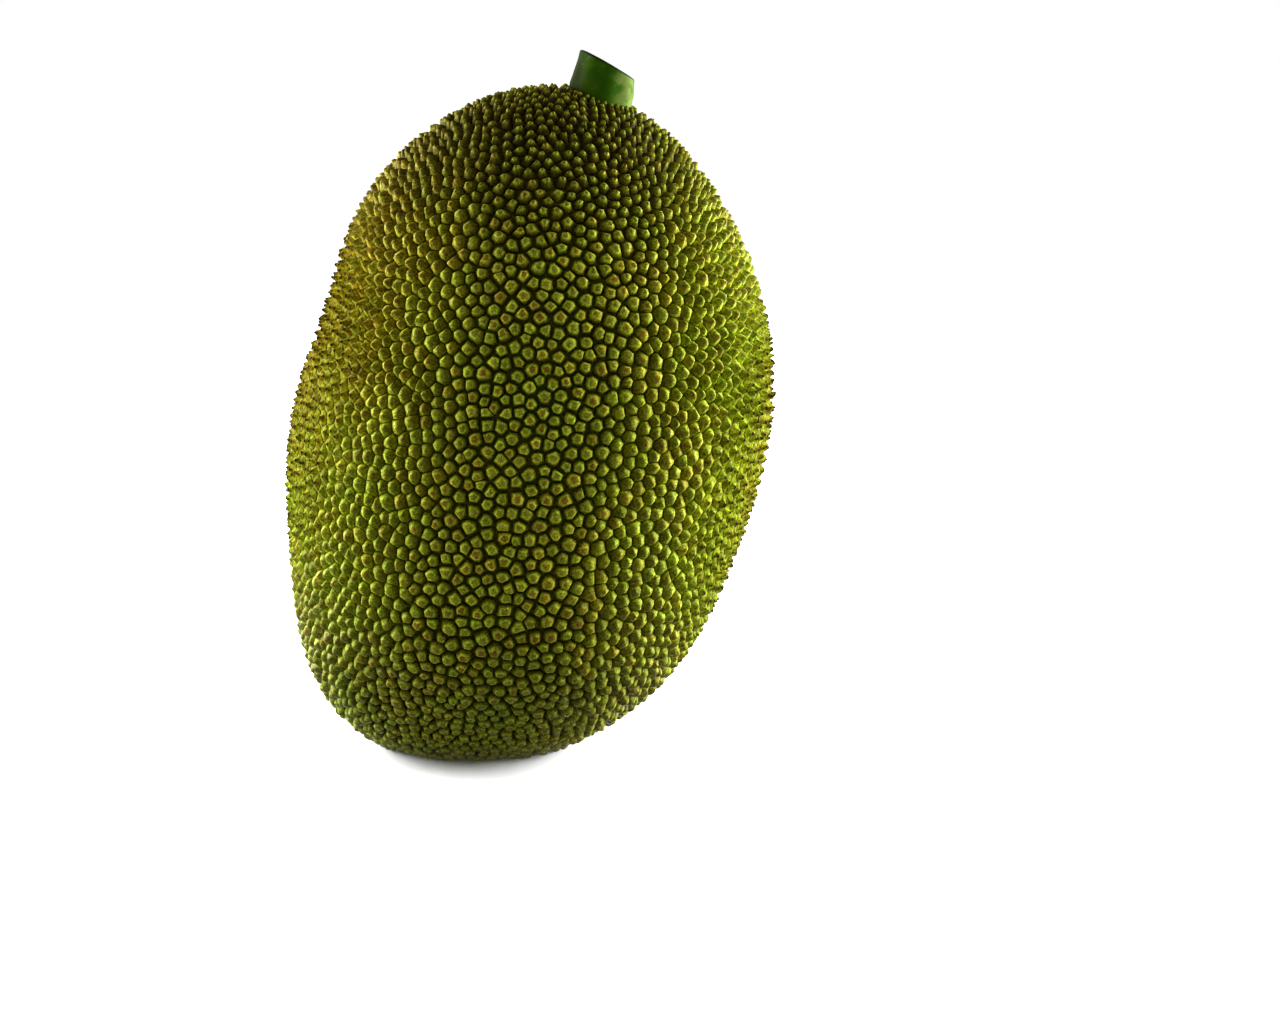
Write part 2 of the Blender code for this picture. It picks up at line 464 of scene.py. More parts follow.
@dataclass(frozen=True)
class Clearing:
    """The round place about the stalk where no knob grows."""

    middle: np.ndarray
    axis: np.ndarray
    radius: float
    nearly: float = 0.96

    def off_axis(self, points: np.ndarray) -> tuple[np.ndarray, np.ndarray, np.ndarray]:
        """Where points lie about the stalk.

        Args:
            points: places as the fruit stands.

        Returns:
            Each one's height along the stalk, its offset from the axis and that offset's length.
        """
        along = (points - self.middle) @ self.axis
        offset = points - self.middle - along[:, None] * self.axis
        return along, offset, np.linalg.norm(offset, axis=1)

    def pushed_out(self, points: np.ndarray) -> np.ndarray:
        """Points inside the clearing moved straight out towards its rim, the others as they are.

        Args:
            points: places as the fruit stands.

        Returns:
            The moved places.
        """
        along, offset, far = self.off_axis(points)
        short = np.where((far < self.radius) & (along > -self.radius), self.radius / far - 1, 0)
        return points + offset * np.minimum(short, 1)[:, None]

    def outside(self, points: np.ndarray) -> np.ndarray:
        """True for points that stand at least nearly clear of the stalk."""
        along, _, far = self.off_axis(points)
        return (far > self.nearly * self.radius) | (along < -self.radius)


@dataclass(frozen=True)
class Profile:
    """How a knob narrows from root to tip: shares of its outline, and how high they stand."""

    shares: tuple[float, ...]
    rises: tuple[float, ...]


@dataclass
class KnobbedRind:
    """The rind: a smooth bed, and blunt knobs standing close together on it.

    A knob's outline shares the ground with its neighbours. In the direction t, a neighbour j at
    distance d[j] and bearing f[j] stops it at g[j] d[j] / cos(t - f[j]), where g[j] is the knob's
    share of their two sizes. The outline is the soft least of those: the sum of their (-n)th
    powers, to the power -1/n, which rounds the corners.
    """

    egg: Egg
    clear: Clearing
    layout: KnobLayout = field(default_factory=KnobLayout)
    skin_margin: float = 0.7 * MM
    height_room: float = 0.2 * MM
    height: float = 4.2 * MM
    foot_lift: float = 3.0 * MM
    sides: int = 10
    blunt: Profile = Profile((0.95, 0.80, 0.68, 0.50, 0.25), (-0.06, 0.44, 0.70, 0.87, 0.965))
    dome: Profile = Profile((1.00, 0.83, 0.61, 0.36, 0.15), (0.0, 0.27, 0.57, 0.82, 0.955))
    cone: Profile = Profile((1.00, 0.81, 0.57, 0.33, 0.14), (0.0, 0.24, 0.52, 0.80, 0.955))
    spine: Profile = Profile((1.00, 0.74, 0.46, 0.26, 0.11), (0.0, 0.10, 0.30, 0.66, 0.950))
    spines: Band = (0.60, 0.92)
    cones: Band = (0.62, 0.97)
    domes: Band = (0.22, 0.50)
    low_aside: Band = (0.20, 0.80)
    low_below: Band = (0.05, 0.40)
    low_share: float = 0.42
    narrow: Band = (0.45, 0.90)
    narrow_height: float = 0.65
    shortest: float = 0.75
    corner_power: float = 16.0
    fine_sides: int = 96
    corner_pull: float = 0.78
    round_off: float = 0.30
    tip_wander: float = 0.18
    top_tilt: float = 0.20
    height_spread: float = 0.12
    roughness: float = 0.025
    widest: float = 0.74
    least_facing: float = 1e-3
    end_angle: float = math.radians(38)
    bed_rings: int = 110
    bed_sides: int = 200
    bed_rise: float = 0.03
    bed_room: float = 0.98
    map_room: float = 0.94
    end_spread: float = 1.12
    side_spread: float = 1.10
    side_height: float = 0.95
    hidden_at: float = 0.004
    hidden_radius: float = 0.003

    def __post_init__(self) -> None:
        """Settle the knobs and give each its own height, lean, tone and warmth."""
        sunk = self.skin_margin + self.height
        settled = self.layout.settled(self.egg, sunk, self.foot_lift, self.clear)
        self.directions, self.sizes = settled
        local = self.local_height(self.directions)
        self.roots = self.egg.standing(self.directions, self.skin_margin + local, self.foot_lift)
        self.frames = self.egg.tangents(self.directions, self.skin_margin + local, self.foot_lift)
        self.draw = np.random.default_rng(self.layout.seed + 1)
        self.turns, self.outlines, self.pitches = self.share_ground()
        count = len(self.roots)
        spread = self.draw.normal(scale=self.height_spread, size=count)
        tallest = 1 + self.height_room / self.height
        self.heights = local * np.clip(1 + spread, self.shortest, tallest)
        room = smooth_step(self.narrow, self.pitches / np.median(self.pitches))
        self.heights *= room * (1 - self.narrow_height) + self.narrow_height
        self.aside = np.abs(self.directions[:, 0])
        self.spiny = smooth_step(self.spines, self.aside)
        pointed = smooth_step(self.cones, self.directions[:, 2]) * (1 - self.spiny)
        domed = smooth_step(self.domes, self.aside) * (1 - self.spiny - pointed)
        mix = np.stack([1 - self.spiny - pointed - domed, domed, pointed, self.spiny], axis=1)
        kinds = (self.blunt, self.dome, self.cone, self.spine)
        self.shares = mix @ np.array([kind.shares for kind in kinds])
        self.rises = mix @ np.array([kind.rises for kind in kinds])
        self.tones = self.draw.random(count)
        self.warmths = self.draw.random(count)

    def local_height(self, directions: np.ndarray) -> np.ndarray:
        """The knobs' height: lower towards the fruit's two sides, except high up.

        Args:
            directions: unit vectors of the fruit's own frame.

        Returns:
            One height for each direction.
        """
        aside = smooth_step(self.low_aside, np.abs(directions[..., 0]))
        lowered = aside * (1 - smooth_step(self.low_below, directions[..., 2]))
        return self.height * (1 - self.low_share * lowered)

    def share_ground(self) -> tuple[np.ndarray, np.ndarray, np.ndarray]:
        """Where each knob ends on every side, by the rule given for the class.

        The bearings of the knob's few sides are drawn towards its corners: they are even steps of a
        running total that grows by a fixed part along the outline, and by the rest as it turns.

        Returns:
            Bearings and outline radii, one row for each knob, and the knobs' pitches.
        """
        east, north, _ = self.frames
        near = self.layout.nearest(self.roots, self.layout.neighbours)
        gaps = self.roots[near] - self.roots[:, None]
        x, y = np.einsum("kjc,kc->kj", gaps, east), np.einsum("kjc,kc->kj", gaps, north)
        apart = np.linalg.norm(gaps, axis=2)
        bearing = np.arctan2(y, x)
        share = self.sizes[:, None] / (self.sizes[:, None] + self.sizes[near])
        fine = np.arange(self.fine_sides + 1) * FULL_TURN / self.fine_sides
        facing = np.maximum(np.cos(fine[None, :, None] - bearing[:, None, :]), self.least_facing)
        stops = facing / (share * apart)[:, None, :]
        outline = (stops**self.corner_power).sum(axis=2) ** (-1 / self.corner_power)
        pitch = np.sort(apart, axis=1)[:, : self.layout.pitch_neighbours].mean(axis=1)
        outline = np.minimum(outline, self.widest * pitch[:, None])

        edge = outline * np.exp(1j * fine)
        run = np.angle(np.diff(edge, axis=1))
        bend = np.abs((np.diff(run, axis=1, append=run[:, :1]) + math.pi) % FULL_TURN - math.pi)
        bend = (bend + np.roll(bend, 1, axis=1)) / 2
        bend = bend / bend.sum(axis=1, keepdims=True)
        growth = (1 - self.corner_pull) / self.fine_sides + self.corner_pull * bend
        total = np.concatenate([np.zeros((len(edge), 1)), np.cumsum(growth, axis=1)], axis=1)
        row = 2.0 * np.arange(len(edge))[:, None]
        wanted = row + (np.arange(self.sides) + 0.5)[None] / self.sides
        known = (row + total).reshape(-1)
        turns = np.interp(wanted, known, np.tile(fine, len(edge)))
        return turns, np.interp(wanted, known, outline.reshape(-1)), pitch

    def knob_points(self, chosen: np.ndarray) -> np.ndarray:
        """The vertices of some knobs: their rings from the root up, and then the tip.

        A ring at share s of the outline r(t) stands at rise h of the knob's height. Its radius is
        s ((1 - q) r(t) + q r_mean), with q growing with the rise, so that a polygonal root ends in
        a round tip. The top is tilted: the rise is times 1 + c s cos(t - b), with c and b the
        knob's own. The rings also lean over with the rise, towards the knob's own side.

        Args:
            chosen: the numbers of the knobs.

        Returns:
            An array of knobs by vertices by coordinates.
        """
        east, north, outward = (part[chosen][:, None, None, :] for part in self.frames)
        turn = self.turns[chosen][:, None, :, None]
        rises, shares = self.rises[chosen][:, :, None], self.shares[chosen][:, :, None]
        outline = self.outlines[chosen][:, None, :]
        rounding = self.round_off * np.clip(rises, 0, 1)
        mean = outline.mean(axis=2, keepdims=True)
        radius = shares * ((1 - rounding) * outline + rounding * mean)
        pitch = self.pitches[chosen][:, None, None]
        wobble = self.draw.normal(scale=self.roughness, size=radius.shape) * pitch
        tall = self.heights[chosen][:, None, None, None]
        lean = self.lean(chosen)[:, None, None, :]
        slant = self.top_tilt * self.draw.random((len(chosen), 1, 1))
        slant = slant * np.cos(turn[..., 0] - FULL_TURN * self.draw.random((len(chosen), 1, 1)))
        up = (rises * (1 + slant * shares))[..., None]
        around = east * np.cos(turn) + north * np.sin(turn)
        rings = self.roots[chosen][:, None, None, :] + around * (radius + wobble)[..., None]
        rings = rings + outward * tall * up + lean * np.clip(up, 0, 1)
        tips = self.roots[chosen] + outward[:, 0, 0] * tall[:, 0, 0] + self.lean(chosen)
        points = np.concatenate([rings.reshape(len(chosen), -1, 3), tips[:, None]], axis=1)
        points[..., 2] = np.maximum(points[..., 2], 0)
        return points

    def outer_side(self, chosen: np.ndarray, points: np.ndarray) -> np.ndarray:
        """How far each vertex lies towards its knob's outer side, from -1 to about 1.

        The outer side is the one that is turned away from the plane x = 0. The offset from the
        knob's axis, without its part along the axis, is measured along x in half pitches.

        Args:
            chosen: the numbers of the knobs.
            points: their vertices, an array of knobs by vertices by coordinates.

        Returns:
            One number for each vertex.
        """
        # The finish reads this value to paint a highlight on the outer side and shade on the inner
        # side.
        outward = self.frames[2][chosen][:, None, :]
        offset = points - self.roots[chosen][:, None, :]
        offset = offset - outward * (offset * outward).sum(axis=-1, keepdims=True)
        away = np.sign(self.directions[chosen, 0])[:, None]
        return offset[..., 0] * away * 2 / self.pitches[chosen][:, None]

    def lean(self, chosen: np.ndarray) -> np.ndarray:
        """How far each knob's tip stands off its root, along the rind, from a draw of its own.

        Args:
            chosen: the numbers of the knobs.

        Returns:
            One offset for each knob.
        """
        draw = np.random.default_rng(self.layout.seed + 2)
        bearing = draw.random(len(self.roots))[chosen, None] * FULL_TURN
        far = draw.random(len(self.roots))[chosen, None] * self.tip_wander
        east, north, _ = (part[chosen] for part in self.frames)
        return (east * np.cos(bearing) + north * np.sin(bearing)) * far * self.pitches[chosen, None]

    def zone_of(self) -> np.ndarray:
        """Which zone each knob is in: an end, or else the side with the nearest middle.

        Returns:
            One zone's number for each knob.
        """
        polar, azimuth = self.egg.angles(self.directions)
        quarter = np.round(azimuth / (FULL_TURN / 4)).astype(int) % 4
        zone = quarter + Zone.RIGHT.number
        zone[polar < self.end_angle] = Zone.CROWN.number
        zone[polar > math.pi - self.end_angle] = Zone.FOOT.number
        return zone

    def flat_places(self, zone: Zone, places: np.ndarray, near: np.ndarray) -> np.ndarray:
        """Where places of a zone lie on its flat map.

        An end is spread out from its middle, with the distance from it in proportion to the polar
        angle. A side is unrolled, with the azimuth across and the polar angle down.

        Args:
            zone: the zone.
            places: places as the fruit stands, an array of knobs by vertices by coordinates.
            near: for each knob, an azimuth that the others are unrolled from.

        Returns:
            Coordinates between 0 and 1.
        """
        polar, azimuth = self.egg.angles(self.egg.facing(places))
        if zone in (Zone.CROWN, Zone.FOOT):
            off = polar if zone is Zone.CROWN else math.pi - polar
            far = off / (self.end_angle * self.end_spread) * self.map_room / 2
            return 0.5 + np.stack([far * np.cos(azimuth), far * np.sin(azimuth)], axis=-1)
        off = near[:, None] + (azimuth - near[:, None] + math.pi) % FULL_TURN - math.pi
        across = (off - zone.middle + math.pi) % FULL_TURN - math.pi
        across = 0.5 + across / (FULL_TURN / 4 * self.side_spread) * self.map_room
        down = (polar - self.end_angle) / (math.pi - 2 * self.end_angle) - 0.5
        return np.stack([across, 0.5 + down * self.map_room * self.side_height], axis=-1)

    def build_knobs(self, zone: Zone) -> bpy.types.Object:
        """One piece with all the knobs of a zone, each closed by a face hidden in the bed.

        Args:
            zone: the zone.

        Returns:
            The piece, with its flat map and the values that the finish reads.
        """
        chosen = np.flatnonzero(self.zone_of() == zone.number)
        points = self.knob_points(chosen)
        count, rings = len(chosen), len(self.blunt.shares)
        per_knob = rings * self.sides + 1
        first = (np.arange(count) * per_knob)[:, None, None]
        bands = grid_faces(rings, self.sides) + first
        tips = fan_faces((rings - 1) * self.sides, self.sides, per_knob - 1) + first
        roots = np.arange(self.sides)[::-1] + first
        blocks = [bands.reshape(-1, 4), tips.reshape(-1, 3), roots.reshape(-1, self.sides)]
        made = mesh_object(f"knobs_{zone.value}", points.reshape(-1, 3), blocks)

        flat = self.flat_places(zone, points, self.egg.angles(self.directions[chosen])[1])
        flat = flat.reshape(-1, 2)
        even = np.arange(self.sides) * FULL_TURN / self.sides
        hidden = np.stack([np.cos(even), np.sin(even)], axis=1)
        hidden = self.hidden_at + self.hidden_radius * hidden
        corner_places = [flat[block.reshape(-1)] for block in blocks[:2]]
        set_bake_map(made, np.concatenate([*corner_places, np.tile(hidden[::-1], (count, 1))]))

        rise = np.repeat(np.clip(self.rises[chosen], 0, 1), self.sides, axis=1)
        set_values(made, "rise", np.append(rise, np.ones((count, 1)), axis=1))
        # outer: read by the finish to paint a highlight on a knob's outer side and shade on its
        # inner side.
        set_values(made, "outer", self.outer_side(chosen, points))
        own = {"tone": self.tones, "spiny": self.spiny, "aside": self.aside, "warmth": self.warmths}
        for name, values in own.items():
            set_values(made, name, np.repeat(values[chosen], per_knob))
        return made

    def build_bed(self) -> bpy.types.Object:
        """The smooth skin between the knobs, a grid of rings closed by a fan at each end.

        Its flat map is unrolled, with the turn across and the rings up, and a row of triangles for
        each fan.

        Returns:
            The piece, with its flat map.
        """
        rings, sides, span = self.bed_rings, self.bed_sides, self.bed_rings + 1
        polar = np.linspace(0, math.pi, rings + 2)[1:-1][::-1]
        polar, azimuth = np.meshgrid(polar, np.arange(sides) * FULL_TURN / sides, indexing="ij")
        ends = np.array([[0, 0, 1.0], [0, 0, -1.0]])
        directions = np.concatenate([self.egg.directions(polar, azimuth).reshape(-1, 3), ends])
        sunk = self.skin_margin + self.local_height(directions) * (1 - self.bed_rise)
        points = self.egg.standing(directions, sunk, self.foot_lift - self.bed_rise * self.height)
        crown = fan_faces((rings - 1) * sides, sides, len(points) - 2)
        foot = fan_faces(0, sides, len(points) - 1)[:, [1, 0, 2]]
        made = mesh_object("rind_bed", points, [grid_faces(rings, sides), crown, foot])

        side, row = np.arange(sides)[:, None], np.arange(1, rings)[:, None, None]
        across = [side + np.array(corners) for corners in ((0, 1, 1, 0), (0, 1, 0.5), (1, 0, 0.5))]
        up = [row + np.array([0, 0, 1, 1]), np.array([rings, rings, span]), np.array([1, 1, 0])]
        places = [np.stack(np.broadcast_arrays(*pair), axis=-1) for pair in zip(across, up)]
        places = np.concatenate([block.reshape(-1, 2) for block in places]) / [sides, span]
        set_bake_map(made, 0.5 + self.bed_room * (places - 0.5))
        return made


@dataclass
class Stalk:
    """The stub of the stalk: a fleshy green stem that flares into the crown, cut off on a slant.

    It is one closed skin over two parameters, the turn round the stem and the way along it: up the
    bark, over the rounded rim, and across the cut face to its middle.
    """

    egg: Egg
    polar: float = math.radians(1.6)
    radius: float = 15.5 * MM
    top_radius: float = 13.8 * MM
    seat_depth: float = 9.0 * MM
    proud: float = 11.8 * MM
    flare: float = 5.0 * MM
    cut_normal: tuple[float, float, float] = (0.29, 0.10, 0.95)
    rim: float = 0.9 * MM
    sides: int = 144
    bark_rings: int = 64
    rim_rings: int = 7
    face_rings: int = 40
    ribs: int = 9
    rib_depth: float = 0.014
    dish: float = 0.7 * MM
    start: float = 2.0 * MM
    rim_values: Band = (0.25, 0.75)
    rim_above_bark: float = 0.40
    room: float = 1.6 * MM

    @property
    def foot(self) -> np.ndarray:
        """The middle of the stalk's foot, sunk in the crown."""
        ways = self.egg.directions(np.array([self.polar]), np.zeros(1))
        return self.egg.standing(ways, self.seat_depth)[0]

    @property
    def clearing(self) -> Clearing:
        """The place that knobs keep free about the stalk, with some room beside it."""
        middle = self.foot + self.egg.axis * self.seat_depth
        return Clearing(middle, self.egg.axis, self.radius + self.room)

    @property
    def length(self) -> float:
        """The stalk's whole length along its axis, to the middle of the cut."""
        return self.seat_depth + self.proud

    def bark_radius(self, height: np.ndarray) -> np.ndarray:
        """The stem's radius: an even taper, and a flare that fades out exponentially.

        Args:
            height: heights above the stalk's foot.

        Returns:
            One radius for each height.
        """
        above = np.maximum(0, 1 - height / self.length)
        taper = self.top_radius + (self.radius - self.top_radius) * above
        fade = np.exp(-np.maximum(0, height - self.seat_depth) / self.flare)
        return taper + (self.radius - taper) * fade

    def top_at(self, turn: np.ndarray, radius: np.ndarray) -> np.ndarray:
        """The height of the cut's plane above points at a turn and a radius."""
        nx, ny, nz = self.cut_normal
        return self.length - (nx * np.cos(turn) + ny * np.sin(turn)) * radius / nz

    def build(self) -> bpy.types.Object:
        """The whole skin as one mesh, with what is bark, rim and cut face stored on it.

        The bark's radius is times 1 + c w(t) v(h). The wave w has nine uneven ribs and four wide
        ones round the stem, and v swells and fades along it. The rim is a quarter circle. The cut
        face sags by d (1 - s^4) at share s of its radius, a little unevenly round.

        Returns:
            The piece.
        """
        turn = np.arange(self.sides) * FULL_TURN / self.sides
        wave = np.cos(self.ribs * turn + 0.6 * np.sin(2 * turn)) + 0.6 * np.cos(4 * turn + 1.0)
        share = np.linspace(0, 1, self.bark_rings)[:, None]
        swell = 0.55 + 0.45 * np.sin(3.1 * share + 0.4)
        bark_top = self.top_at(turn, self.top_radius) - self.rim
        bark_height = self.start + share * (bark_top - self.start)
        bark = self.bark_radius(bark_height) * (1 + self.rib_depth * wave * swell)
        quarter = np.arange(1, self.rim_rings + 1)[:, None] / self.rim_rings
        bend = quarter * math.pi / 2
        rim = bark[-1] - self.rim * (1 - np.cos(bend))
        rim_height = bark_height[-1] + self.rim * np.sin(bend)
        inward = 1 - np.arange(1, self.face_rings)[:, None] / self.face_rings
        sag = self.dish * (1 - inward**4) * (1 + 0.15 * np.cos(3 * turn + 1.3))
        step = (rim_height[-1] - self.top_at(turn, rim[-1])) * inward**6
        face = rim[-1] * inward
        radius = np.concatenate([bark, rim, face])
        height = np.concatenate([bark_height, rim_height, self.top_at(turn, face) + step - sag])

        local = np.stack([radius * np.cos(turn), radius * np.sin(turn), height], axis=-1)
        local = local.reshape(-1, 3)
        ends = np.array([[0, 0, self.start], [0, 0, self.length - self.dish]])
        points = np.concatenate([local, ends]) @ self.egg.turn.T + self.foot
        under = fan_faces(0, self.sides, len(points) - 2)[:, [1, 0, 2]]
        middle = fan_faces(len(local) - self.sides, self.sides, len(points) - 1)
        blocks = [grid_faces(len(radius), self.sides), under, middle]
        made = mesh_object("stalk_stub", points, blocks)

        first, last = self.rim_values
        on_rim = first + (last - first) * quarter[:, 0]
        cut = [np.zeros(self.bark_rings - 1), [self.rim_above_bark], on_rim, np.ones(len(face))]
        out = [np.ones(self.bark_rings + self.rim_rings), inward[:, 0]]
        rows = {"cut": np.concatenate(cut), "out": np.concatenate(out)}
        rows["along"] = np.linspace(0, 1, len(radius))
        for name, at_ends in (("cut", [0.0, 1.0]), ("out", [1.0, 0.0]), ("along", [0.0, 1.0])):
            set_values(made, name, np.append(np.repeat(rows[name], self.sides), at_ends))
        return made


@dataclass(frozen=True)
class Number:
    """A number that nodes work out. It adds, subtracts and multiplies as plain numbers do."""

    pen: "Nodes"
    socket: bpy.types.NodeSocket

    def __add__(self, other: "Number | float") -> "Number":
        """The sum of the two."""
        return self.pen.math("ADD", self, other)

    def __sub__(self, other: "Number | float") -> "Number":
        """This number less the other."""
        return self.pen.math("SUBTRACT", self, other)

    def __rsub__(self, other: float) -> "Number":
        """The other number less this one."""
        return self.pen.math("SUBTRACT", other, self)

    def __mul__(self, other: "Number | float") -> "Number":
        """The product of the two."""
        return self.pen.math("MULTIPLY", self, other)


@dataclass(frozen=True)
class Spots:
    """Soft spots: a noise with so many cells to the metre, told apart by a step."""

    scale: float
    low: float
    high: float
    detail: float = 3.0


class Nodes:
    """A short way to write the nodes of a material or a world."""

    def __init__(self, owner: bpy.types.Material | bpy.types.World) -> None:
        """Start on the nodes that a new material or world comes with."""
        owner.use_nodes = True
        self.owner, self.tree = owner, owner.node_tree

    def add(self, kind: str, inputs: dict | None = None, **settings: object) -> bpy.types.Node:
        """Add a node.

        Args:
            kind: the node's type, without the ShaderNode in front.
            inputs: values or sockets for its inputs, by name or number.
            settings: the node's own settings.

        Returns:
            The node.
        """
        node = self.tree.nodes.new(f"ShaderNode{kind}")
        for name, value in settings.items():
            setattr(node, name, value)
        for name, value in (inputs or {}).items():
            self.feed(node.inputs[name], value)
        return node

    def feed(self, socket: bpy.types.NodeSocket, value: object) -> None:
        """Link a number or a socket to an input, or set the input's own value.

        Args:
            socket: the input.
            value: what it gets.
        """
        value = value.socket if isinstance(value, Number) else value
        if isinstance(value, bpy.types.NodeSocket):
            self.tree.links.new(value, socket)
        else:
            socket.default_value = value

    def value(self, name: str) -> Number:
        """A number stored on the mesh."""
        return Number(self, self.add("Attribute", attribute_name=name).outputs["Fac"])

    def coordinate(self, axis: str) -> Number:
        """One of the object's own coordinates, X, Y or Z."""
        places = self.add("TexCoord").outputs["Object"]
        return Number(self, self.add("SeparateXYZ", {0: places}).outputs[axis])

    def math(self, operation: str, *numbers: Number | float) -> Number:
        """A sum, product or other operation on one or two numbers."""
        inputs = dict(enumerate(numbers))
        return Number(self, self.add("Math", inputs, operation=operation).outputs[0])

    def noise(self, scale: float, detail: float = 3.0, **more: object) -> Number:
        """A soft noise on the object's own coordinates.

        Args:
            scale: how many cells it has in a metre.
            detail: how many finer layers it has.
            more: the node's other inputs.

        Returns:
            The noise, about 0.5.
        """
        places = self.add("TexCoord").outputs["Object"]
        inputs = {"Vector": places, "Scale": scale, "Detail": detail, **more}
        return Number(self, self.add("TexNoise", inputs).outputs["Fac"])

    def step(self, value: Number, low: float, high: float) -> Number:
        """A soft step of a number.

        Args:
            value: the number.
            low: where the step is 0.
            high: where it is 1, which may be the lower of the two.

        Returns:
            The step.
        """
        inputs = {"Value": value, "From Min": low, "From Max": high}
        node = self.add("MapRange", inputs, interpolation_type="SMOOTHSTEP")
        return Number(self, node.outputs["Result"])

    def spots(self, spots: Spots) -> Number:
        """The spots, 1 where they are and 0 between them."""
        return self.step(self.noise(spots.scale, spots.detail), spots.low, spots.high)

    def ramp(self, value: Number, stops: Sequence[tuple[float, Colour]]) -> bpy.types.NodeSocket:
        """A colour read off a ramp.

        Args:
            value: the place along the ramp.
            stops: places and colours, in order.

        Returns:
            The colour's socket.
        """
        node = self.add("ValToRGB", {"Fac": value})
        elements = node.color_ramp.elements
        while len(elements) < len(stops):
            elements.new(0.5)
        for element, (place, colour) in zip(elements, stops):
            element.position = place
            element.color = (*colour, 1)
        return node.outputs["Color"]

    def mix(
        self, share: Number | float, first: object, second: object, blend: str = "MIX"
    ) -> bpy.types.NodeSocket:
        """A mix of two colours.

        Args:
            share: how much the second colour counts.
            first: the first colour, a socket or a triple.
            second: the second colour, likewise.
            blend: how they are mixed.

        Returns:
            The mixed colour's socket.
        """
        node = self.add("Mix", data_type="RGBA", blend_type=blend)
        for name, value in (("Factor", share), ("A", first), ("B", second)):
            socket = next(s for s in node.inputs if s.name == name and s.enabled)
            self.feed(socket, (*value, 1) if isinstance(value, tuple) else value)
        return next(s for s in node.outputs if s.enabled)

    def bump(self, height: Number, depth: float, strength: float = 1.0) -> bpy.types.NodeSocket:
        """A normal roughened by a height, with its depth in metres."""
        inputs = {"Height": height, "Distance": depth, "Strength": strength}
        return self.add("Bump", inputs).outputs["Normal"]

    def finish(self, node: str = "Principled BSDF", **inputs: object) -> bpy.types.ID:
        """Feed the inputs of the node that gives the look, named with _ for a space.

        Args:
            node: the node's name.
            inputs: values, numbers or sockets.

        Returns:
            The material or world.
        """
        for name, value in inputs.items():
            self.feed(self.tree.nodes[node].inputs[name.replace("_", " ")], value)
        return self.owner


